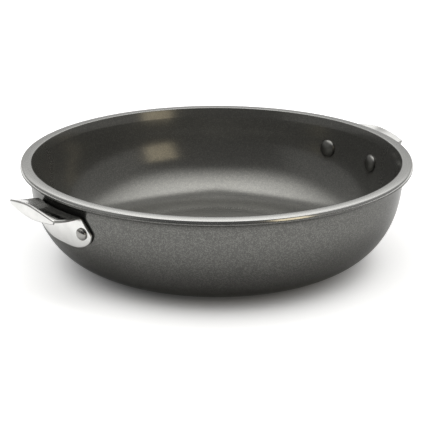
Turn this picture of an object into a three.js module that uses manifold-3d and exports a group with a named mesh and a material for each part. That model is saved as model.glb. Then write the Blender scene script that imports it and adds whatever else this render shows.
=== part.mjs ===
// Saute pan with two side handles: a thick aluminium bowl with a flat turned-out rim,
// and two formed steel handles, each held to the wall by two solid rivets.
// Millimetres, +Z up. The origin is the centre of the base, and the handles lie along X.
import * as THREE from "three";
import { ParametricGeometry } from "three/addons/geometries/ParametricGeometry.js";
import { mergeVertices } from "three/addons/utils/BufferGeometryUtils.js";
import Module from "manifold-3d";

// Bowl
const rimDiameter = 281;
const panHeight = 73;
const baseDiameter = 158.4;
const floorThickness = 5.3;
const wallThickness = 3.2;
const wallTaperDegrees = 5.8;
const curveHeight = 54.8; // top of the curved part of the wall
const curveReachOnBase = 20.9; // how far the curve follows the base before it rises
const curveReachOnWall = 40.7; // how far the curve follows the wall before it turns in

// Rim
const rimOverhang = 6; // rim edge beyond the outer wall
const rimThickness = 4.1;
const rimFlatWidth = 7.9; // top of the rim, out to its edge
const rimTopRadius = 1.8; // outer edge, above
const rimLowerRadius = 1.2; // outer edge, below
const rimFilletRadius = 3; // under the rim, against the wall
const mouthFlareHeight = 7; // the inner wall opens out to the rim over this height

// Handle, one formed sheet: a back plate on the wall, a bend, and a crowned bill with a turned-down lip
const sheetThickness = 2;
const bendDrop = 15; // rim top down to where the sheet leaves the wall
const bendRadius = 3.5;
const billSlopeDegrees = 20;
const footHalfWidth = 9; // straight part of the back plate's lower edge
const earHalfWidth = 33.8; // widest line of the back plate, across the rivets
const neckHalfWidth = 26.4; // at the bend
const billHalfWidth = 28.2; // at the bill's front corners
const backPlateHeight = 21.5;
const earHeight = 14; // widest line above the lower edge
const billReach = 22.4; // wall to the ridge along the bill's front, on the centre line
const billFrontRadius = 180;
const billRise = 6.5; // ridge above the bend, on the centre line
const billCrown = 4.4; // fall of the ridge from the centre line to the bill's corner
const billDish = 0.6; // hollow of the bill's top between the bend and the ridge
const lipFall = 9.4; // ridge down to the lip's free edge, on the centre line
const lipEndFall = 1.9; // the same at the bill's corner
const lipTuck = 1.2; // free edge back from the ridge, on the centre line

// Rivets
const rivetSpacing = 50.8; // along the wall
const rivetRise = 13.5; // above the lower edge of the back plate
const shankDiameter = 6;
const headDiameter = 13.4; // domed head inside the bowl
const headHeight = 3.4;
const tailDiameter = 8.8; // formed head outside the handle
const tailHeight = 2.8;

// Clearances
const seatGap = 0.3; // handle to wall, and rivet heads to what they clamp
const shankGap = 0.3; // around a shank in its holes

// Facet counts
const bowlSides = 64;
const rivetSides = 18;
const wallSteps = 11;
const roundSteps = 3;
const domeSteps = 4;
const sheetStepsAcross = 16;
const sheetStepsAround = 48;
const halvings = 40; // steps of the search for a height on a curve
const mergeDistance = 1e-3;

const { degToRad, lerp } = THREE.MathUtils;
const halfTurn = Math.PI;
const quarterTurn = Math.PI / 2;
const wallTaper = degToRad(wallTaperDegrees);
const billSlope = degToRad(billSlopeDegrees);
const rimRadius = rimDiameter / 2;
const baseRadius = baseDiameter / 2;
const rimUnderside = panHeight - rimThickness;
const wallTopRadius = rimRadius - rimOverhang;
const curveTopRadius = wallTopRadius - (rimUnderside - curveHeight) * Math.tan(wallTaper);

const point = (radius, z) => new THREE.Vector2(radius, z);

// Half-section of the wall's curve, from the flat of the base or floor up to the straight taper.
function wallCurve(flatLevel, inset) {
  const top = point(curveTopRadius - inset, curveHeight);
  const pull = curveReachOnWall - inset;
  return new THREE.CubicBezierCurve(
    point(baseRadius, flatLevel),
    point(baseRadius + curveReachOnBase, flatLevel),
    point(top.x - pull * Math.tan(wallTaper), top.y - pull),
    top,
  );
}

const outerCurve = wallCurve(0, 0);
const innerCurve = wallCurve(floorThickness, wallThickness / Math.cos(wallTaper));

// Radius of a wall curve at a height, found on the curve by halving, or on the taper above it.
function radiusAt(curve, z) {
  const top = curve.v3;
  if (z >= top.y) {
    return top.x + (z - top.y) * Math.tan(wallTaper);
  }
  let low = 0;
  let high = 1;
  for (let step = 0; step < halvings; step += 1) {
    const middle = (low + high) / 2;
    if (curve.getPoint(middle).y < z) {
      low = middle;
    } else {
      high = middle;
    }
  }
  return curve.getPoint(low).x;
}

const wallRadius = (z) => radiusAt(outerCurve, z);
const boreRadius = (z) => radiusAt(innerCurve, z);

// Lean of the outer wall from upright at a height.
function wallLean(z) {
  const span = wallThickness / 2;
  return Math.atan2(wallRadius(z + span) - wallRadius(z - span), 2 * span);
}

const wasm = await Module();
wasm.setup();

function toSolid(geometry) {
  const bare = geometry.clone();
  bare.deleteAttribute("normal");
  bare.deleteAttribute("uv");
  const merged = mergeVertices(bare, mergeDistance);
  const mesh = new wasm.Mesh({
    numProp: 3,
    vertProperties: merged.attributes.position.array,
    triVerts: new Uint32Array(merged.index.array),
  });
  return new wasm.Manifold(mesh);
}

function toGeometry(solid) {
  const mesh = solid.getMesh();
  const geometry = new THREE.BufferGeometry();
  geometry.setAttribute("position", new THREE.BufferAttribute(mesh.vertProperties, 3));
  geometry.setIndex(new THREE.BufferAttribute(mesh.triVerts, 1));
  geometry.computeVertexNormals();
  return geometry;
}

// Quarter round between two points of a half-section, bulging towards the corner.
function roundCorner(from, corner, to) {
  return new THREE.QuadraticBezierCurve(from, corner, to).getPoints(roundSteps);
}

// The bowl with its rim, turned about Z.
function bowlGeometry() {
  const mouthRadius = rimRadius - rimFlatWidth;
  const flareStart = panHeight - mouthFlareHeight;
  const underRim = point(wallTopRadius, rimUnderside);
  const profile = [
    point(0, 0),
    ...outerCurve.getPoints(wallSteps),
    ...roundCorner(
      point(wallRadius(rimUnderside - rimFilletRadius), rimUnderside - rimFilletRadius),
      underRim,
      point(wallTopRadius + rimFilletRadius, rimUnderside),
    ),
    ...roundCorner(
      point(rimRadius - rimLowerRadius, rimUnderside),
      point(rimRadius, rimUnderside),
      point(rimRadius, rimUnderside + rimLowerRadius),
    ),
    ...roundCorner(
      point(rimRadius, panHeight - rimTopRadius),
      point(rimRadius, panHeight),
      point(rimRadius - rimTopRadius, panHeight),
    ),
    ...roundCorner(
      point(mouthRadius, panHeight),
      point(boreRadius(panHeight), panHeight - mouthFlareHeight / 2),
      point(boreRadius(flareStart), flareStart),
    ),
    ...innerCurve.getPoints(wallSteps).reverse(),
    point(0, floorThickness),
  ];
  return new THREE.LatheGeometry(profile, bowlSides).rotateX(quarterTurn);
}

// Handle levels, from the rim down
const bendLevel = panHeight - bendDrop;
const footLevel = bendLevel - backPlateHeight;
const rivetLevel = footLevel + rivetRise;
const bendTurn = quarterTurn - billSlope;
const billLevel = bendLevel + bendRadius * Math.sin(bendTurn);
const sheetOffset = seatGap + sheetThickness / 2; // wall to the middle of the sheet

// How far out the middle of the sheet is where it lies on the wall.
function outOnWall(side, z) {
  const radius = wallRadius(z) + sheetOffset;
  return Math.sqrt(radius * radius - side * side);
}

// The bill's plan and crown, across its width
const billFront = wallTopRadius + billReach;
const ridgeOut = (side) => {
  return billFront - billFrontRadius + Math.sqrt(billFrontRadius ** 2 - side ** 2);
};
const cornerShare = (side) => Math.abs(side / billHalfWidth) ** 1.5;
const ridgeLevel = (side) => billLevel + billRise - billCrown * cornerShare(side);

// Rows of the formed sheet, from the lower edge to the free edge of the lip. Each belongs to one
// stretch, at a share of it, and gives a point (out, side, z) for a place across the sheet.
const earLevel = footLevel + earHeight;
const lipTipHalfWidth = billHalfWidth - lipEndFall / 2;

function shoulderHalfWidth(level) {
  return lerp(earHalfWidth, neckHalfWidth, (level - earLevel) / (billLevel - earLevel));
}

function billHalfWidthAt(share) {
  return lerp(neckHalfWidth, billHalfWidth, Math.sin(quarterTurn * share));
}

function rowOnWall(level, halfWidth) {
  return (across) => {
    const side = across * halfWidth;
    return new THREE.Vector3(outOnWall(side, level), side, level);
  };
}

// The back plate's lower corners are quarter ellipses.
function cornerRow(share) {
  const level = footLevel + earHeight * (1 - Math.cos(quarterTurn * share));
  return rowOnWall(level, lerp(footHalfWidth, earHalfWidth, Math.sin(quarterTurn * share)));
}

function shoulderRow(share) {
  const level = lerp(earLevel, bendLevel, share);
  return rowOnWall(level, shoulderHalfWidth(level));
}

function bendPoint(side, share) {
  const turn = bendTurn * share;
  const out = outOnWall(side, bendLevel) + bendRadius * (1 - Math.cos(turn));
  return new THREE.Vector3(out, side, bendLevel + bendRadius * Math.sin(turn));
}

function bendRow(share) {
  const halfWidth = shoulderHalfWidth(bendPoint(0, share).z);
  return (across) => bendPoint(across * halfWidth, share);
}

function billRow(share) {
  const halfWidth = billHalfWidthAt(share);
  return (across) => {
    const side = across * halfWidth;
    const start = bendPoint(side, 1);
    const out = lerp(start.x, ridgeOut(side), share);
    const rise = lerp(start.z, ridgeLevel(side), share);
    return new THREE.Vector3(out, side, rise - billDish * Math.sin(halfTurn * share));
  };
}

function lipRow(share) {
  const halfWidth = lerp(billHalfWidth, lipTipHalfWidth, share);
  return (across) => {
    const side = across * halfWidth;
    const out = ridgeOut(side) - lipTuck * share * (1 - cornerShare(side));
    const fall = lerp(lipFall, lipEndFall, cornerShare(side));
    return new THREE.Vector3(out, side, ridgeLevel(side) - fall * share);
  };
}

const rowsOf = (count, row) => Array.from({ length: count }, (_, index) => row((index + 1) / count));
const sheetRows = [
  cornerRow(0),
  ...rowsOf(3, cornerRow),
  ...rowsOf(2, shoulderRow),
  ...rowsOf(2, bendRow),
  ...rowsOf(4, billRow),
  ...rowsOf(3, lipRow),
];

const sheetLine = (across) => {
  const points = sheetRows.map((row) => row(across));
  return new THREE.CatmullRomCurve3(points, false, "centripetal");
};

// Share of the full thickness at a distance in from an edge, which is rounded.
function edgeRound(distance) {
  const inward = Math.min(distance / (sheetThickness / 2), 1);
  return Math.sqrt(1 - (1 - inward) ** 2);
}

// The closed skin of the sheet: up the outer face, over the lip's edge and back down the inner face.
function sheetSkin(u, v, target) {
  const across = -Math.cos(halfTurn * u);
  const along = (1 - Math.cos(2 * halfTurn * v)) / 2;
  const nudge = 1e-3;
  const line = sheetLine(across);
  const middle = line.getPointAt(along);
  const acrossWay = sheetLine(Math.min(across + nudge, 1)).getPointAt(along);
  acrossWay.sub(sheetLine(Math.max(across - nudge, -1)).getPointAt(along));
  const normal = line.getTangentAt(along).cross(acrossWay).normalize();
  const fromEnd = Math.min(along, 1 - along) * line.getLength();
  const fromSide = (1 - Math.abs(across)) * neckHalfWidth;
  const half = (sheetThickness / 2) * edgeRound(fromEnd) * edgeRound(fromSide);
  const face = v < 0.5 ? -1 : 1;
  target.copy(middle).addScaledVector(normal, face * half);
}

// A radial frame at one rivet: its X axis points out through the wall, square to it.
function placeRivet(geometry, sideways) {
  const turn = sideways * (rivetSpacing / 2 / wallRadius(rivetLevel));
  const seat = wallRadius(rivetLevel);
  return geometry
    .rotateY(wallLean(rivetLevel))
    .translate(seat, 0, rivetLevel)
    .rotateZ(turn);
}

// A hole's cutter lies along X, through the wall and the handle, on the side that turn gives.
function rivetHole(sideways, turn) {
  const radius = shankDiameter / 2 + shankGap;
  const length = 4 * (wallThickness + sheetThickness + seatGap);
  const cutter = new THREE.CylinderGeometry(radius, radius, length, rivetSides);
  return toSolid(placeRivet(cutter.rotateZ(-quarterTurn), sideways).rotateZ(turn));
}

function handleGeometry() {
  const sheet = new ParametricGeometry(sheetSkin, sheetStepsAcross, sheetStepsAround);
  return toGeometry(toSolid(sheet).subtract(rivetHole(1, 0)).subtract(rivetHole(-1, 0)));
}

// Depth of a flat head's seat behind the outer wall: the head bridges the hollow of the inner wall.
function headDepth(headRadius) {
  const bore = boreRadius(rivetLevel);
  const hollowAcross = bore - Math.sqrt(bore ** 2 - headRadius ** 2);
  const ends = boreRadius(rivetLevel + headRadius) + boreRadius(rivetLevel - headRadius);
  const hollowUp = bore - ends / 2;
  const wall = (wallRadius(rivetLevel) - bore) * Math.cos(wallLean(rivetLevel));
  return wall + Math.max(hollowAcross, hollowUp);
}

// A rivet along X: domed head inside the bowl, shank, and formed tail outside the handle.
function rivetGeometry(sideways) {
  const headRadius = headDiameter / 2;
  const headSeat = -headDepth(headRadius) - seatGap;
  const tailSeat = seatGap + sheetThickness + seatGap;
  const shankRadius = shankDiameter / 2;
  const dome = (radius, height, seat, first, last) => {
    return new THREE.EllipseCurve(0, seat, radius, height, first, last).getPoints(domeSteps);
  };
  const profile = [
    ...dome(headRadius, headHeight, headSeat, -quarterTurn, 0),
    point(shankRadius, headSeat),
    point(shankRadius, tailSeat),
    ...dome(tailDiameter / 2, tailHeight, tailSeat, 0, quarterTurn),
  ];
  profile[0].x = 0;
  profile[profile.length - 1].x = 0;
  const turned = new THREE.LatheGeometry(profile, rivetSides);
  return placeRivet(turned.rotateZ(-quarterTurn), sideways);
}

const finish = (color, roughness, metalness) => {
  return new THREE.MeshStandardMaterial({ color, roughness, metalness });
};
const coatedAluminium = finish(0x565653, 0.45, 0.6);
const polishedSteel = finish(0xd6d6d2, 0.15, 1);
const rivetMetal = finish(0x9c9c98, 0.35, 1);

const named = (name, geometry, material) => {
  const mesh = new THREE.Mesh(geometry, material);
  mesh.name = name;
  return mesh;
};

const pan = new THREE.Group();
const handleSides = [
  { side: "right", turn: 0 },
  { side: "left", turn: halfTurn },
];

let bowl = toSolid(bowlGeometry());
for (const { side, turn } of handleSides) {
  const group = new THREE.Group();
  group.rotation.z = turn;
  group.add(named(`${side}_handle`, handleGeometry(), polishedSteel));
  for (const [place, sideways] of [["a", 1], ["b", -1]]) {
    group.add(named(`${side}_rivet_${place}`, rivetGeometry(sideways), rivetMetal));
    bowl = bowl.subtract(rivetHole(sideways, turn));
  }
  pan.add(group);
}
pan.add(named("pan_body", toGeometry(bowl), coatedAluminium));

export default pan;
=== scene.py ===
# Saute pan with two riveted side handles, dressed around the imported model. Metres, +Z up.
import math

import bmesh
import bpy
from mathutils import Matrix, Vector, kdtree
from mathutils.geometry import interpolate_bezier


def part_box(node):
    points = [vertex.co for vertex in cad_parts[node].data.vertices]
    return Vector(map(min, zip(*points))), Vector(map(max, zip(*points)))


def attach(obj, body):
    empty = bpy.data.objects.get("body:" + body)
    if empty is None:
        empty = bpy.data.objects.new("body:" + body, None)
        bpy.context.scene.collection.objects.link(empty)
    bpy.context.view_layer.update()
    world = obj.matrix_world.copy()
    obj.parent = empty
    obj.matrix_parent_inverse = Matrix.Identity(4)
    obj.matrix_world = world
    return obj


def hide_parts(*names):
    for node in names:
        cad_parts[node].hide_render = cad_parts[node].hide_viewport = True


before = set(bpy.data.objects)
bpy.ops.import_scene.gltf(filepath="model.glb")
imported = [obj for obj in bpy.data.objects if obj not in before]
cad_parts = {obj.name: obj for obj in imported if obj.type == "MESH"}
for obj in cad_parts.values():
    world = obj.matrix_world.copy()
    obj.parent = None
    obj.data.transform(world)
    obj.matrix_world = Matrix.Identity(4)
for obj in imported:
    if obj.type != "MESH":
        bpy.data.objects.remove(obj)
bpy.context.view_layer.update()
scene = bpy.context.scene
quarterTurn = math.pi / 2
print("frame loaded:", ", ".join(sorted(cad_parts)))


def lerp(a, b, share):
    return a + (b - a) * share


# Camera, at the photograph's angle. The handles lie along X, turned away from the line of sight.
photoView = {
    "turn": math.radians(-37.1),   # round the pan, from straight along +Y
    "reach": 1.1684,               # level distance from the pan's axis
    "height": 0.4312,
    "tilt": math.radians(-18.888),
    "aside": math.radians(0.182),  # how far the axis is off the middle of the picture
    "lens": 144.68,
}


def makeCamera():
    camera = bpy.data.objects.new("photoCamera", bpy.data.cameras.new("photoCamera"))
    scene.collection.objects.link(camera)
    turn = photoView["turn"]
    camera.location = (
        photoView["reach"] * math.sin(turn),
        -photoView["reach"] * math.cos(turn),
        photoView["height"],
    )
    camera.rotation_euler = (quarterTurn + photoView["tilt"], 0, turn + photoView["aside"])
    camera.data.lens = photoView["lens"]
    scene.camera = camera


makeCamera()
print("camera placed")


# Small helpers for node trees
def addNode(tree, kind, inputs=None, **settings):
    node = tree.nodes.new(kind)
    for name, value in settings.items():
        setattr(node, name, value)
    for name, value in (inputs or {}).items():
        if isinstance(value, bpy.types.NodeSocket):
            tree.links.new(value, node.inputs[name])
        else:
            node.inputs[name].default_value = value
    return node


def mathNode(tree, operation, first, second=0.0):
    return addNode(tree, "ShaderNodeMath", {0: first, 1: second}, operation=operation).outputs[0]


def mapRange(tree, value, fromLow, fromHigh, toLow, toHigh, smooth=False):
    kind = "SMOOTHSTEP" if smooth else "LINEAR"
    limits = {0: value, 1: fromLow, 2: fromHigh, 3: toLow, 4: toHigh}
    return addNode(tree, "ShaderNodeMapRange", limits, interpolation_type=kind).outputs[0]


def noise(tree, vector, scale, detail, roughness):
    inputs = {"Vector": vector, "Scale": scale, "Detail": detail, "Roughness": roughness}
    return addNode(tree, "ShaderNodeTexNoise", inputs).outputs["Fac"]


def mixColour(tree, share, first, second):
    node = addNode(tree, "ShaderNodeMix", {0: share, 6: first, 7: second}, data_type="RGBA")
    return node.outputs[2]


def mixLevel(tree, share, first, second):
    return addNode(tree, "ShaderNodeMix", {0: share, 2: first, 3: second}).outputs[0]


def lengthOf(tree, vector):
    return addNode(tree, "ShaderNodeVectorMath", {0: vector}, operation="LENGTH").outputs["Value"]


def turnToPhoto(tree, vector):   # x to the photograph's right, y away from the camera
    inputs = {"Vector": vector, "Angle": -photoView["turn"]}
    return addNode(tree, "ShaderNodeVectorRotate", inputs, rotation_type="Z_AXIS").outputs[0]


def newGroup(name, inputs, outputs):
    group = bpy.data.node_groups.new(name, "ShaderNodeTree")
    for socketName, kind in inputs.items():
        group.interface.new_socket(socketName, in_out="INPUT", socket_type=kind)
    for socketName, kind in outputs.items():
        group.interface.new_socket(socketName, in_out="OUTPUT", socket_type=kind)
    return group, group.nodes.new("NodeGroupInput").outputs, group.nodes.new("NodeGroupOutput").inputs


def placeGroup(tree, group, inputs):
    return addNode(tree, "ShaderNodeGroup", inputs, node_tree=group).outputs


def newMaterial(name):
    material = bpy.data.materials.new(name)
    material.use_nodes = True
    tree = material.node_tree
    shader = tree.nodes["Principled BSDF"]
    place = tree.nodes.new("ShaderNodeTexCoord").outputs["Object"]
    return material, tree, shader, place


def setShader(shader, values):
    for name, value in values.items():
        shader.inputs[name].default_value = value


def addBump(tree, shader, height, strength, distance):
    inputs = {"Height": height, "Strength": strength, "Distance": distance}
    bump = addNode(tree, "ShaderNodeBump", inputs)
    tree.links.new(bump.outputs[0], shader.inputs["Normal"])


# Effects in the finishes. Scales are times the flakes' grain, or times the smudges' own scale.
effects = {
    "mottleScale": 0.22,
    "fineScale": 0.6,
    "flakeBlur": 0.12,
    "scratchScale": 3.0,
    "scratchStretch": (1.0, 9.0, 14.0),
}


def makeFlakeGroup():
    group, given, out = newGroup(
        "metalFlake",
        {"Place": "NodeSocketVector", "Grain": "NodeSocketFloat", "Cover": "NodeSocketFloat"},
        {"Flake": "NodeSocketFloat", "Mottle": "NodeSocketFloat", "Height": "NodeSocketFloat"},
    )
    place, grain = given["Place"], given["Grain"]
    cells = addNode(group, "ShaderNodeTexVoronoi", {"Vector": place, "Scale": grain})
    chance = addNode(group, "ShaderNodeSeparateColor", {"Color": cells.outputs["Color"]}).outputs[0]
    bare = mathNode(group, "SUBTRACT", given["Cover"], chance)
    blur = effects["flakeBlur"]
    mottleScale = mathNode(group, "MULTIPLY", grain, effects["mottleScale"])
    fineScale = mathNode(group, "MULTIPLY", grain, effects["fineScale"])
    group.links.new(mapRange(group, bare, -blur, blur, 0, 1, smooth=True), out["Flake"])
    group.links.new(noise(group, place, mottleScale, detail=3.0, roughness=0.65), out["Mottle"])
    group.links.new(noise(group, place, fineScale, detail=2.0, roughness=0.7), out["Height"])
    return group


def makeTurnedGroup():
    group, given, out = newGroup(
        "turnedLines",
        {"Place": "NodeSocketVector", "Pitch": "NodeSocketFloat"},
        {"Lines": "NodeSocketFloat"},
    )
    flat = addNode(group, "ShaderNodeVectorMath", {0: given["Place"], 1: (1, 1, 0)}, operation="MULTIPLY")
    steps = mathNode(group, "DIVIDE", lengthOf(group, flat.outputs[0]), given["Pitch"])
    inputs = {"W": steps, "Scale": 1.0, "Detail": 2.0}
    lines = addNode(group, "ShaderNodeTexNoise", inputs, noise_dimensions="1D")
    group.links.new(lines.outputs["Fac"], out["Lines"])
    return group


def makeHandlingGroup():
    group, given, out = newGroup(
        "handlingMarks",
        {"Place": "NodeSocketVector", "Scale": "NodeSocketFloat"},
        {"Smudge": "NodeSocketFloat", "Scratch": "NodeSocketFloat"},
    )
    place, scale = given["Place"], given["Scale"]
    stretch = addNode(group, "ShaderNodeMapping", {"Vector": place, "Scale": effects["scratchStretch"]})
    fineScale = mathNode(group, "MULTIPLY", scale, effects["scratchScale"])
    group.links.new(noise(group, place, scale, detail=4.0, roughness=0.6), out["Smudge"])
    group.links.new(noise(group, stretch.outputs[0], fineScale, detail=5.0, roughness=0.7), out["Scratch"])
    return group


flakeGroup = makeFlakeGroup()
turnedGroup = makeTurnedGroup()
handlingGroup = makeHandlingGroup()


# Finishes: a mottle from a dark to a light colour, and from the high roughness to the low one
noiseSpan = (0.3, 0.7)     # where most of a noise texture's values lie
smudgeSpan = (0.3, 0.75)   # the same, for the roughness of smudged metal
coatDepth = 0.0004         # bump of the coatings
markDepth = 0.0002         # bump of lines and scratches in bare metal

innerCoat = {
    "dark": (0.172, 0.171, 0.162, 1),
    "light": (0.196, 0.195, 0.184, 1),
    "flake": (0.25, 0.247, 0.228, 1),
    "grain": 2200.0,      # flake cells in a metre
    "cover": 0.25,        # share of the surface that is flake
    "metallic": 0.62,
    "roughness": (0.16, 0.19),
    "bump": 0.03,
    "edgeTint": 1.0,
}
outerCoat = {
    "dark": (0.11, 0.11, 0.105, 1),
    "light": (0.129, 0.129, 0.123, 1),
    "flake": (0.175, 0.174, 0.165, 1),
    "grain": 1700.0,
    "cover": 0.35,
    "metallic": 0.9,
    "roughness": (0.19, 0.23),
    "bump": 0.04,
    "edgeTint": 0.7,      # less shine where the wall turns away
}


def makeCoating(name, coat):
    material, tree, shader, place = newMaterial(name)
    inputs = {"Place": place, "Grain": coat["grain"], "Cover": coat["cover"]}
    flake = placeGroup(tree, flakeGroup, inputs)
    mottle = mapRange(tree, flake["Mottle"], *noiseSpan, 0, 1)
    body = mixColour(tree, mottle, coat["dark"], coat["light"])
    tree.links.new(mixColour(tree, flake["Flake"], body, coat["flake"]), shader.inputs["Base Color"])
    low, high = coat["roughness"]
    tree.links.new(mapRange(tree, flake["Mottle"], *noiseSpan, high, low), shader.inputs["Roughness"])
    tint = coat["edgeTint"]
    setShader(shader, {"Metallic": coat["metallic"], "Specular Tint": (tint, tint, tint, 1)})
    addBump(tree, shader, flake["Height"], coat["bump"], coatDepth)
    return material


turnedRim = {
    "dark": (0.55, 0.55, 0.535, 1),
    "light": (0.7, 0.7, 0.68, 1),
    "pitch": 0.0007,
    "roughness": (0.12, 0.2),
    "bump": 0.1,
}


def makeRimFinish():
    material, tree, shader, place = newMaterial("turnedRim")
    lines = placeGroup(tree, turnedGroup, {"Place": place, "Pitch": turnedRim["pitch"]})["Lines"]
    share = mapRange(tree, lines, *noiseSpan, 0, 1)
    colour = mixColour(tree, share, turnedRim["dark"], turnedRim["light"])
    tree.links.new(colour, shader.inputs["Base Color"])
    low, high = turnedRim["roughness"]
    tree.links.new(mapRange(tree, lines, *noiseSpan, high, low), shader.inputs["Roughness"])
    setShader(shader, {"Metallic": 1.0})
    addBump(tree, shader, lines, turnedRim["bump"], markDepth)
    return material


polishedSheet = {
    "dark": (0.66, 0.66, 0.647, 1),
    "light": (0.76, 0.76, 0.745, 1),
    "roughness": (0.07, 0.17),
    "marks": 60.0,
    "bump": 0.03,
}
cutEdgeAndShade = {   # the sheet's sheared edge, not polished, and painted shade: its dark colour also stands for the thin shade line along the lip's and the ear's lower edges
    "dark": (0.34, 0.34, 0.333, 1),
    "light": (0.46, 0.46, 0.45, 1),
    "roughness": (0.25, 0.4),
    "marks": 300.0,
    "bump": 0.05,
}
rivetMetal = {
    "dark": (0.27, 0.265, 0.255, 1),
    "light": (0.38, 0.375, 0.36, 1),
    "roughness": (0.1, 0.17),
    "marks": 160.0,
    "bump": 0.05,
}
rivetHead = {   # duller, inside the bowl
    "dark": (0.2, 0.2, 0.19, 1),
    "light": (0.29, 0.288, 0.275, 1),
    "roughness": (0.26, 0.38),
    "marks": 220.0,
    "bump": 0.08,
}


def makeSteel(name, steel):
    material, tree, shader, place = newMaterial(name)
    marks = placeGroup(tree, handlingGroup, {"Place": place, "Scale": steel["marks"]})
    share = mapRange(tree, marks["Smudge"], *noiseSpan, 0, 1)
    tree.links.new(mixColour(tree, share, steel["dark"], steel["light"]), shader.inputs["Base Color"])
    low, high = steel["roughness"]
    tree.links.new(mapRange(tree, marks["Smudge"], *smudgeSpan, high, low), shader.inputs["Roughness"])
    setShader(shader, {"Metallic": 1.0})
    addBump(tree, shader, marks["Scratch"], steel["bump"], markDepth)
    return material


innerCoating = makeCoating("innerCoating", innerCoat)
outerCoating = makeCoating("outerCoating", outerCoat)
rimFinish = makeRimFinish()
handleSteel = makeSteel("handleSteel", polishedSheet)
edgeSteelAndShade = makeSteel("edgeSteelAndShade", cutEdgeAndShade)
rivetSteel = makeSteel("rivetSteel", rivetMetal)
rivetDull = makeSteel("rivetDull", rivetHead)
print("finishes made")


# Turned shapes: an open half-section in the XZ plane, spun about Z
def spinSection(bm, points, steps, materialIndex):
    verts = [bm.verts.new((point.x, 0, point.y)) for point in points]
    edges = [bm.edges.new(pair) for pair in zip(verts, verts[1:])]
    known = set(bm.faces)
    bmesh.ops.spin(
        bm,
        geom=verts + edges,
        axis=(0, 0, 1),
        cent=(0, 0, 0),
        angle=2 * math.pi,
        steps=steps,
        use_merge=True,
    )
    for face in set(bm.faces) - known:
        face.material_index = materialIndex


mergeDistance = 1e-6
leastEdge = 1e-7


def closeMesh(bm):
    bmesh.ops.remove_doubles(bm, verts=bm.verts, dist=mergeDistance)
    bmesh.ops.dissolve_degenerate(bm, edges=bm.edges, dist=leastEdge)
    bmesh.ops.recalc_face_normals(bm, faces=bm.faces)


def finishPiece(name, bm, materials, node):
    for face in bm.faces:
        face.smooth = True
    mesh = bpy.data.meshes.new(name)
    bm.to_mesh(mesh)
    bm.free()
    for material in materials:
        mesh.materials.append(material)
    piece = bpy.data.objects.new(name, mesh)
    scene.collection.objects.link(piece)
    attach(piece, "root")
    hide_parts(node)


def arc(centre, radius, start, end, steps):
    angles = [lerp(start, end, step / steps) for step in range(steps + 1)]
    return [Vector((centre[0] + radius * math.cos(a), centre[1] + radius * math.sin(a))) for a in angles]


def bezier(first, pull, push, last, steps):
    ends = [Vector((point[0], point[1], 0)) for point in (first, pull, push, last)]
    return [Vector((point.x, point.y)) for point in interpolate_bezier(*ends, steps + 1)]


# Pan body: pressed bowl with a flat turned-out rim
bowl = {
    "baseRadius": 0.0792,
    "floorThickness": 0.0053,
    "wallThickness": 0.0032,
    "wallTaper": math.radians(5.8),
    "curveHeight": 0.0548,             # top of the curved part of the wall
    "curveReachOnBase": 0.0209,
    "curveReachOnWall": 0.0407,
    "rimOverhang": 0.006,
    "rimThickness": 0.0041,
    "rimFlatWidth": 0.0079,
    "rimCornerRadius": 0.0007,         # top edge
    "rimBulgeRadius": 0.004,           # upper part of the edge face
    "rimBulgeTurn": math.radians(35),
    "rimCoatTurn": math.radians(11),   # the outer coating reaches this far up it
    "rimLowerRadius": 0.0013,
    "rimFilletHeight": 0.0085,
    "rimFilletReach": 0.0042,
    "rimFall": math.radians(2.2),      # the rim's top leans outwards
    "mouthEdge": 0.0003,               # round along the flat's inner edge
    "mouthTurn": 0.8 * math.pi,        # where that round ends
    "mouthFlareHeight": 0.007,         # the inner wall opens out to the rim over this height
    "steps": {
        "turn": 256,
        "curve": 48,
        "fillet": 12,
        "lowerEdge": 8,
        "coatedEdge": 4,
        "bulge": 6,
        "corner": 6,
        "mouth": 4,
        "flare": 10,
    },
}
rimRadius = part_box("pan_body")[1].x
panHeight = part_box("pan_body")[1].z
rimUnderside = panHeight - bowl["rimThickness"]
wallTopRadius = rimRadius - bowl["rimOverhang"]
taperRun = math.tan(bowl["wallTaper"])


def wallCurve(flatLevel, inset):
    topRadius = wallTopRadius - (rimUnderside - bowl["curveHeight"]) * taperRun - inset
    pull = bowl["curveReachOnWall"] - inset
    return bezier(
        (bowl["baseRadius"], flatLevel),
        (bowl["baseRadius"] + bowl["curveReachOnBase"], flatLevel),
        (topRadius - pull * taperRun, bowl["curveHeight"] - pull),
        (topRadius, bowl["curveHeight"]),
        bowl["steps"]["curve"],
    )


outerCurve = wallCurve(0, 0)
innerCurve = wallCurve(bowl["floorThickness"], bowl["wallThickness"] / math.cos(bowl["wallTaper"]))


def radiusAt(curve, z):
    if z >= curve[-1].y:
        return curve[-1].x + (z - curve[-1].y) * taperRun
    for low, high in zip(curve, curve[1:]):
        if z <= high.y:
            return lerp(low.x, high.x, (z - low.y) / (high.y - low.y))


# The bowl's section in three parts: outside from the base up, top of the rim, inside down to the floor
def outsideSection():
    steps = bowl["steps"]
    filletStart = rimUnderside - bowl["rimFilletHeight"]
    filletMiddle = rimUnderside - bowl["rimFilletHeight"] / 2
    lowRound, bulge = bowl["rimLowerRadius"], bowl["rimBulgeRadius"]
    edgeLevel = rimUnderside + lowRound
    points = [Vector((0, 0)), *outerCurve]
    points += bezier(
        (radiusAt(outerCurve, filletStart), filletStart),
        (radiusAt(outerCurve, filletMiddle), filletMiddle),
        (wallTopRadius, rimUnderside),
        (wallTopRadius + bowl["rimFilletReach"], rimUnderside),
        steps["fillet"],
    )
    points += arc((rimRadius - lowRound, edgeLevel), lowRound, -quarterTurn, 0, steps["lowerEdge"])
    points += arc((rimRadius - bulge, edgeLevel), bulge, 0, bowl["rimCoatTurn"], steps["coatedEdge"])
    return points


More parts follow.
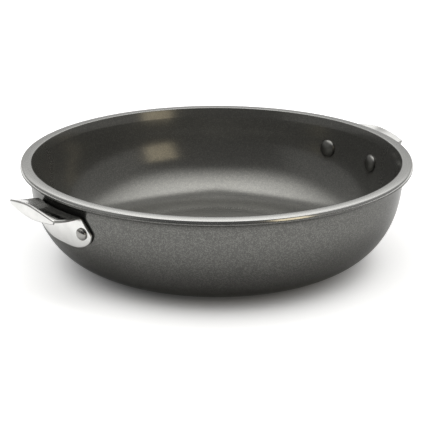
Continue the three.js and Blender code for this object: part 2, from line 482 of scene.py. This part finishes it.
def rimSection():
    steps = bowl["steps"]
    bulge, bulgeTurn = bowl["rimBulgeRadius"], bowl["rimBulgeTurn"]
    corner, edge = bowl["rimCornerRadius"], bowl["mouthEdge"]
    flatTurn = quarterTurn - bowl["rimFall"]
    bulgeCentre = (rimRadius - bulge, rimUnderside + bowl["rimLowerRadius"])
    points = arc(bulgeCentre, bulge, bowl["rimCoatTurn"], bulgeTurn, steps["bulge"])
    facing = Vector((math.cos(bulgeTurn), math.sin(bulgeTurn)))
    points += arc(points[-1] - corner * facing, corner, bulgeTurn, flatTurn, steps["corner"])
    edgeCentre = (rimRadius - bowl["rimFlatWidth"] + edge, panHeight - edge)
    points += arc(edgeCentre, edge, flatTurn, bowl["mouthTurn"], steps["mouth"])
    return points


def insideSection(start):
    flareLevel = panHeight - bowl["mouthFlareHeight"]
    end = Vector((radiusAt(innerCurve, flareLevel), flareLevel))
    turn = Vector((radiusAt(innerCurve, panHeight), panHeight - bowl["mouthFlareHeight"] / 2))
    pull = 2 / 3   # both ends lean on the same point
    points = bezier(start, start.lerp(turn, pull), end.lerp(turn, pull), end, bowl["steps"]["flare"])
    points += innerCurve[::-1]
    points += [Vector((0, bowl["floorThickness"]))]
    return points


def makePanBody():
    rim = rimSection()
    bm = bmesh.new()
    for index, section in enumerate((outsideSection(), rim, insideSection(rim[-1]))):
        spinSection(bm, section, bowl["steps"]["turn"], index)
    closeMesh(bm)
    finishPiece("panBowl", bm, [outerCoating, rimFinish, innerCoating], "pan_body")


makePanBody()
print("pan body made")


# Handles: one formed sheet each, a back plate on the wall, a bend, and a slightly dished bill with a lip
handle = {
    "sheet": 0.002,
    "seatGap": 0.0003,
    "bendDrop": 0.015,           # rim top down to where the sheet leaves the wall
    "bendRadius": 0.0035,
    "billSlope": math.radians(20),
    "footHalfWidth": 0.009,
    "earHalfWidth": 0.0338,
    "neckHalfWidth": 0.0264,
    "billHalfWidth": 0.0282,     # at the front corners
    "backPlateHeight": 0.0215,
    "earHeight": 0.014,
    "billReach": 0.0224,         # wall to the ridge along the front
    "billFrontRadius": 0.18,
    "billRise": 0.0065,          # ridge above the bend, on the centre line
    "billCrown": 0.0044,         # fall of the ridge to the corners
    "crownPower": 1.5,
    "billDish": 0.0006,
    "lipFall": 0.0094,           # ridge down to the free edge, on the centre line
    "lipEndFall": 0.0019,        # the same at the corners
    "lipTuck": 0.0012,
    "lipFlare": 0.0006,          # the free edge turns out again
    "lipFlareStart": 0.8,        # from here on down the lip
    "cutAndShadeDepth": 0.6,             # the cut edge's finish and its painted shade reach this far in, in half thicknesses
    "stepsAcross": 56,
    "rows": {"corner": 16, "shoulder": 6, "bend": 8, "bill": 26, "lip": 18},
    "edgeSamples": 16,           # points on each piece of the edge, to measure from
    "smoothPasses": 5,
    "smoothFactor": 0.5,
}
bendLevel = panHeight - handle["bendDrop"]
footLevel = bendLevel - handle["backPlateHeight"]
earLevel = footLevel + handle["earHeight"]
bendTurn = quarterTurn - handle["billSlope"]
billLevel = bendLevel + handle["bendRadius"] * math.sin(bendTurn)
billFront = wallTopRadius + handle["billReach"]
lipTipHalfWidth = handle["billHalfWidth"] - handle["lipEndFall"] / 2


def outOnWall(side, z):
    radius = radiusAt(outerCurve, z) + handle["seatGap"] + handle["sheet"] / 2
    return math.sqrt(radius**2 - side**2)


def ridgeOut(side):
    return billFront - handle["billFrontRadius"] + math.sqrt(handle["billFrontRadius"] ** 2 - side**2)


def cornerShare(side):
    return abs(side / handle["billHalfWidth"]) ** handle["crownPower"]


def ridgeLevel(side):
    return billLevel + handle["billRise"] - handle["billCrown"] * cornerShare(side)


def shoulderHalfWidth(level):
    share = (level - earLevel) / (billLevel - earLevel)
    return lerp(handle["earHalfWidth"], handle["neckHalfWidth"], share)


# Each row places a point across the sheet, from -1 to 1, as (out, side, height)
def wallRow(level, halfWidth):
    return lambda across: Vector((outOnWall(across * halfWidth, level), across * halfWidth, level))


def cornerRow(share):
    level = footLevel + handle["earHeight"] * (1 - math.cos(quarterTurn * share))
    halfWidth = lerp(handle["footHalfWidth"], handle["earHalfWidth"], math.sin(quarterTurn * share))
    return wallRow(level, halfWidth)


def shoulderRow(share):
    level = lerp(earLevel, bendLevel, share)
    return wallRow(level, shoulderHalfWidth(level))


def bendPoint(side, share):
    turn = bendTurn * share
    out = outOnWall(side, bendLevel) + handle["bendRadius"] * (1 - math.cos(turn))
    return Vector((out, side, bendLevel + handle["bendRadius"] * math.sin(turn)))


def bendRow(share):
    halfWidth = shoulderHalfWidth(bendPoint(0, share).z)
    return lambda across: bendPoint(across * halfWidth, share)


def billRow(step):
    share = math.sin(quarterTurn * step)   # rows close up towards the ridge
    halfWidth = lerp(handle["neckHalfWidth"], handle["billHalfWidth"], math.sin(quarterTurn * share))
    dish = handle["billDish"] * math.sin(math.pi * share)

    def place(across):
        side = across * halfWidth
        start = bendPoint(side, 1)
        rise = lerp(start.z, ridgeLevel(side), share) - dish
        return Vector((lerp(start.x, ridgeOut(side), share), side, rise))

    return place


def lipRow(step):
    share = (1 - math.cos(math.pi * step)) / 2   # rows close up towards both edges
    halfWidth = lerp(handle["billHalfWidth"], lipTipHalfWidth, share)
    flareShare = max(share - handle["lipFlareStart"], 0) / (1 - handle["lipFlareStart"])
    lean = handle["lipFlare"] * flareShare**2 - handle["lipTuck"] * share

    def place(across):
        side = across * halfWidth
        out = ridgeOut(side) + lean * (1 - cornerShare(side))
        fall = lerp(handle["lipFall"], handle["lipEndFall"], cornerShare(side))
        return Vector((out, side, ridgeLevel(side) - fall * share))

    return place


def sheetRows():
    stretches = {
        "corner": cornerRow,
        "shoulder": shoulderRow,
        "bend": bendRow,
        "bill": billRow,
        "lip": lipRow,
    }
    rows = [cornerRow(0)]
    for name, row in stretches.items():
        count = handle["rows"][name]
        rows += [row((step + 1) / count) for step in range(count)]
    return rows


def formSheet(bm):
    rows = sheetRows()
    last = len(rows) - 1
    bmesh.ops.create_grid(bm, x_segments=handle["stepsAcross"], y_segments=last, size=1)
    for vert in bm.verts:
        across = math.sin(quarterTurn * vert.co.x)   # columns close up towards the side edges
        row = round((vert.co.y + 1) / 2 * last)
        vert.co = rows[row](across)
    inner = [vert for vert in bm.verts if not vert.is_boundary]
    for _ in range(handle["smoothPasses"]):
        bmesh.ops.smooth_vert(
            bm,
            verts=inner,
            factor=handle["smoothFactor"],
            use_axis_x=True,
            use_axis_y=True,
            use_axis_z=True,
        )
    for corner in [vert for vert in bm.verts if len(vert.link_edges) == 2]:   # leaves no flat flap there
        inside = [vert for vert in corner.link_faces[0].verts if not vert.is_boundary]
        bmesh.ops.connect_verts(bm, verts=[corner, *inside])
    bm.normal_update()


def edgeTree(bm):
    samples = handle["edgeSamples"]
    points = []
    for edge in (e for e in bm.edges if e.is_boundary):
        first, last = (vert.co for vert in edge.verts)
        points += [first.lerp(last, step / samples) for step in range(samples + 1)]
    tree = kdtree.KDTree(len(points))
    for index, point in enumerate(points):
        tree.insert(point, index)
    tree.balance()
    return tree


# The sheet's two faces stand off its middle, and meet in a round along the edge
def thickenSheet(bm):
    edges = edgeTree(bm)
    half = handle["sheet"] / 2
    offsets = []
    edgeVerts = set()
    for vert in bm.verts:
        inward = min(edges.find(vert.co)[2] / half, 1)
        offsets.append(vert.normal * half * math.sqrt(1 - (1 - inward) ** 2))
        if inward < handle["cutAndShadeDepth"]:
            edgeVerts.add(vert)
    for face in bm.faces:
        # edge faces take the cut edge's colour, which also paints shade along the edges
        face.material_index = int(edgeVerts.issuperset(face.verts))
    front = list(bm.verts)
    copied = bmesh.ops.duplicate(bm, geom=bm.verts[:] + bm.edges[:] + bm.faces[:])
    back = [copied["vert_map"][vert] for vert in front]
    backFaces = [item for item in copied["geom"] if isinstance(item, bmesh.types.BMFace)]
    bmesh.ops.reverse_faces(bm, faces=backFaces)
    for frontVert, backVert, offset in zip(front, back, offsets):
        frontVert.co += offset
        backVert.co -= offset


def makeHandle(name, node, turn):
    bm = bmesh.new()
    formSheet(bm)
    thickenSheet(bm)
    bmesh.ops.rotate(bm, verts=bm.verts, cent=(0, 0, 0), matrix=Matrix.Rotation(turn, 3, "Z"))
    closeMesh(bm)
    finishPiece(name, bm, [handleSteel, edgeSteelAndShade], node)


# Rivets: domed head in the bowl, shank, and formed tail on the handle
rivet = {
    "spacing": 0.0508,      # along the wall
    "rise": 0.0135,         # above the back plate's lower edge
    "shankRadius": 0.003,
    "headRadius": 0.0067,
    "headHeight": 0.0034,
    "tailRadius": 0.0044,
    "tailHeight": 0.0028,
    "edgeRadius": 0.0004,
    "turnSteps": 64,
    "domeSteps": 14,
    "leanStep": 0.001,      # up and down the wall, to measure its lean
}
rivetLevel = footLevel + rivet["rise"]
rivetSeat = radiusAt(outerCurve, rivetLevel)
seatAbove = radiusAt(outerCurve, rivetLevel + rivet["leanStep"])
seatBelow = radiusAt(outerCurve, rivetLevel - rivet["leanStep"])
wallLean = math.atan2(seatAbove - seatBelow, 2 * rivet["leanStep"])


def dome(radius, height, seat, facing):
    edge = rivet["edgeRadius"]
    points = [Vector((radius - edge / 2, seat))]
    for step in range(rivet["domeSteps"] + 1):
        angle = quarterTurn * step / rivet["domeSteps"]
        rise = edge + (height - edge) * math.sin(angle)
        points.append(Vector((radius * math.cos(angle), seat + facing * rise)))
    points[-1].x = 0
    return points


def makeRivet(name, node, turn, sideways):
    wall = (rivetSeat - radiusAt(innerCurve, rivetLevel)) * math.cos(wallLean)
    headSeat = -wall - handle["seatGap"] / 2
    tailSeat = handle["seatGap"] + handle["sheet"]
    head = dome(rivet["headRadius"], rivet["headHeight"], headSeat, -1)
    tail = dome(rivet["tailRadius"], rivet["tailHeight"], tailSeat, 1)
    shank = [Vector((rivet["shankRadius"], headSeat)), Vector((rivet["shankRadius"], tailSeat))]
    bm = bmesh.new()
    spinSection(bm, shank + tail, rivet["turnSteps"], 0)
    spinSection(bm, shank[:1] + head, rivet["turnSteps"], 1)
    closeMesh(bm)
    around = turn + sideways * rivet["spacing"] / 2 / rivetSeat
    seat = Matrix.Translation((rivetSeat, 0, rivetLevel))
    lean = Matrix.Rotation(quarterTurn + wallLean, 4, "Y")
    bmesh.ops.transform(bm, verts=bm.verts, matrix=Matrix.Rotation(around, 4, "Z") @ seat @ lean)
    finishPiece(name, bm, [rivetSteel, rivetDull], node)


for side, turn in (("right", 0), ("left", math.pi)):
    makeHandle(f"{side}Handle", f"{side}_handle", turn)
    for place, sideways in (("a", 1), ("b", -1)):
        makeRivet(f"{side}Rivet_{place}", f"{side}_rivet_{place}", turn, sideways)
print("handles and rivets made")


# Floor and light. The edges are where a level starts and ends to change.
studio = {
    "floorSize": 12.0,
    "floorColour": (0.92, 0.92, 0.92, 1),
    "floorRoughness": 0.9,
    "floorShine": 0.1,
    "paintedFloorGlow": (0.03, 0.5),    # glow painted on the paper as the camera sees it, at the pan and away from it; painted light that leaves the shadow only near the pan
    "floorGlowEdge": (0.082, 0.128),  # how far from the middle of the shadow the painted glow rises
    "shadowAhead": 0.008,        # the middle of the shadow that the glow leaves, in front of the pan's axis
    "mirroredFloorGlow": (0.03, 0.42),  # painted glow of the same paper, as the metal reflects it
    "mirroredGlowEdge": (0.12, 0.22),
    "mirroredGlowFade": (0.24, 0.33),  # it fades again from here on
    "mirroredGlowFar": 0.35,           # to this share
    "frontFloor": (0.4, 0.75),   # where the paper ends in the metal, towards the camera
    "frontFloorColour": (0.1, 0.1, 0.1, 1),
    "tint": (1.0, 0.995, 0.98, 1),
    "front": 0.1,                # the room behind the camera
    "frontEdge": (-0.45, 0.15),
    "low": 0.38,                 # the backdrop near the horizon
    "back": 1.2,                 # the backdrop higher up
    "over": 0.45,                # and above its top
    "backEdge": (0.29, 0.42),    # height at which the backdrop brightens
    "backTop": (0.85, 1.0),      # its top, highest in the middle
    "backPitch": 1.2,            # how fast it falls to the sides
    "left": 0.27,                # the room at the sides
    "right": 0.27,
    "sideEdge": (0.55, 0.85),
    "box": 2.4,                  # overhead softbox
    "boxBackEdge": (-0.04, 0.2),  # run over rise, towards the back
    "boxBackSkew": 0.9,          # the same edge lies further back towards the sides
    "boxFrontEdge": (-1.05, 0.0),
    "boxSideEdge": (0.1, 1.25),
    "leastRise": 0.02,           # directions nearer the horizon count as this high
    "lampPlace": (0.1, -1.48, 0.43),   # low, to the right of the camera
    "lampSize": (0.55, 0.82),
    "lampPower": 1.6,
    "lampColour": (1.0, 0.86, 0.6),
}


def makePaperAndGlow():
    material, tree, shader, place = newMaterial("paperAndPaintedGlow")
    setShader(shader, {
        "Roughness": studio["floorRoughness"],
        "Specular IOR Level": studio["floorShine"],
        "Emission Color": (1, 1, 1, 1),
    })
    turned = turnToPhoto(tree, place)
    back = addNode(tree, "ShaderNodeSeparateXYZ", {0: turned}).outputs[1]
    ahead = mathNode(tree, "MULTIPLY", back, -1.0)
    rays = tree.nodes.new("ShaderNodeLightPath").outputs
    mirrored = mathNode(tree, "SUBTRACT", 1.0, rays["Is Camera Ray"])
    ended = mapRange(tree, ahead, *studio["frontFloor"], 0, 1, smooth=True)
    darken = mathNode(tree, "MULTIPLY", ended, mirrored)
    colour = mixColour(tree, darken, studio["floorColour"], studio["frontFloorColour"])
    tree.links.new(colour, shader.inputs["Base Color"])

    # Painted light: the paper glows for the camera and in reflections, little near the pan and more away
    # from it
    seen = mathNode(tree, "MAXIMUM", rays["Is Camera Ray"], rays["Is Glossy Ray"])
    seen = mathNode(tree, "MAXIMUM", seen, rays["Is Transmission Ray"])
    shadow = addNode(tree, "ShaderNodeVectorMath", {0: turned, 1: (0, studio["shadowAhead"], 0)})
    reach = lengthOf(tree, shadow.outputs[0])
    seenGlow = mapRange(tree, reach, *studio["floorGlowEdge"], *studio["paintedFloorGlow"], smooth=True)
    mirroredFloorGlow = mapRange(tree, reach, *studio["mirroredGlowEdge"], *studio["mirroredFloorGlow"], smooth=True)
    fade = mapRange(tree, reach, *studio["mirroredGlowFade"], 1, studio["mirroredGlowFar"], smooth=True)
    mirroredFloorGlow = mathNode(tree, "MULTIPLY", mirroredFloorGlow, fade)
    paintedGlow = mixLevel(tree, rays["Is Camera Ray"], mirroredFloorGlow, seenGlow)
    paintedGlow = mathNode(tree, "MULTIPLY", paintedGlow, mapRange(tree, darken, 0, 1, 1, 0))
    tree.links.new(mathNode(tree, "MULTIPLY", seen, paintedGlow), shader.inputs["Emission Strength"])

    seenFromBelow = tree.nodes.new("ShaderNodeNewGeometry").outputs["Backfacing"]
    clear = tree.nodes.new("ShaderNodeBsdfTransparent").outputs[0]
    mix = addNode(tree, "ShaderNodeMixShader", {0: seenFromBelow, 1: shader.outputs[0], 2: clear})
    tree.links.new(mix.outputs[0], tree.nodes["Material Output"].inputs["Surface"])
    return material


def makeFloor():
    bm = bmesh.new()
    bmesh.ops.create_grid(bm, x_segments=2, y_segments=2, size=studio["floorSize"] / 2)
    mesh = bpy.data.meshes.new("paleFloor")
    bm.to_mesh(mesh)
    bm.free()
    mesh.materials.append(makePaperAndGlow())
    floor = bpy.data.objects.new("paleFloor", mesh)
    scene.collection.objects.link(floor)


def roomLevel(tree, right, back, up):
    backdrop = mapRange(tree, up, *studio["backEdge"], studio["low"], studio["back"], smooth=True)
    pitch = mathNode(tree, "MULTIPLY", mathNode(tree, "ABSOLUTE", right), studio["backPitch"])
    above = mapRange(tree, mathNode(tree, "ADD", up, pitch), *studio["backTop"], 0, 1, smooth=True)
    backdrop = mixLevel(tree, above, backdrop, studio["over"])
    behindPan = mapRange(tree, back, *studio["frontEdge"], 0, 1, smooth=True)
    room = mixLevel(tree, behindPan, studio["front"], backdrop)
    left = mathNode(tree, "MULTIPLY", right, -1.0)
    for way, level in ((right, studio["right"]), (left, studio["left"])):
        room = mixLevel(tree, mapRange(tree, way, *studio["sideEdge"], 0, 1, smooth=True), room, level)
    return room


def softboxLevel(tree, right, back, up):
    rise = mathNode(tree, "MAXIMUM", up, studio["leastRise"])
    along = mathNode(tree, "DIVIDE", back, rise)
    aside = mathNode(tree, "ABSOLUTE", mathNode(tree, "DIVIDE", right, rise))
    behind = mathNode(tree, "SUBTRACT", along, mathNode(tree, "MULTIPLY", aside, studio["boxBackSkew"]))
    box = mapRange(tree, behind, *studio["boxBackEdge"], 1, 0, smooth=True)
    frontShare = mapRange(tree, along, *studio["boxFrontEdge"], 0, 1, smooth=True)
    sideShare = mapRange(tree, aside, *studio["boxSideEdge"], 1, 0, smooth=True)
    for share in (frontShare, sideShare, studio["box"]):
        box = mathNode(tree, "MULTIPLY", box, share)
    return box


def makeWorld():
    world = bpy.data.worlds.new("studioLight")
    world.use_nodes = True
    scene.world = world
    tree = world.node_tree
    direction = tree.nodes.new("ShaderNodeTexCoord").outputs["Generated"]
    ways = addNode(tree, "ShaderNodeSeparateXYZ", {0: turnToPhoto(tree, direction)}).outputs
    level = mathNode(tree, "ADD", roomLevel(tree, *ways), softboxLevel(tree, *ways))
    rays = tree.nodes.new("ShaderNodeLightPath").outputs
    level = mixLevel(tree, rays["Is Camera Ray"], level, 1.0)   # plain white behind the pan
    background = tree.nodes["Background"]
    setShader(background, {"Color": studio["tint"]})
    tree.links.new(level, background.inputs["Strength"])


def makeLamp():
    lamp = bpy.data.objects.new("warmLamp", bpy.data.lights.new("warmLamp", "AREA"))
    scene.collection.objects.link(lamp)
    lamp.data.shape = "RECTANGLE"
    lamp.data.size, lamp.data.size_y = studio["lampSize"]
    lamp.data.energy = studio["lampPower"]
    lamp.data.color = studio["lampColour"]
    lamp.location = studio["lampPlace"]
    lamp.rotation_euler = (-lamp.location).to_track_quat("-Z", "Y").to_euler()


makeFloor()
makeWorld()
makeLamp()
scene.view_settings.view_transform = "Standard"
print("floor and light set")
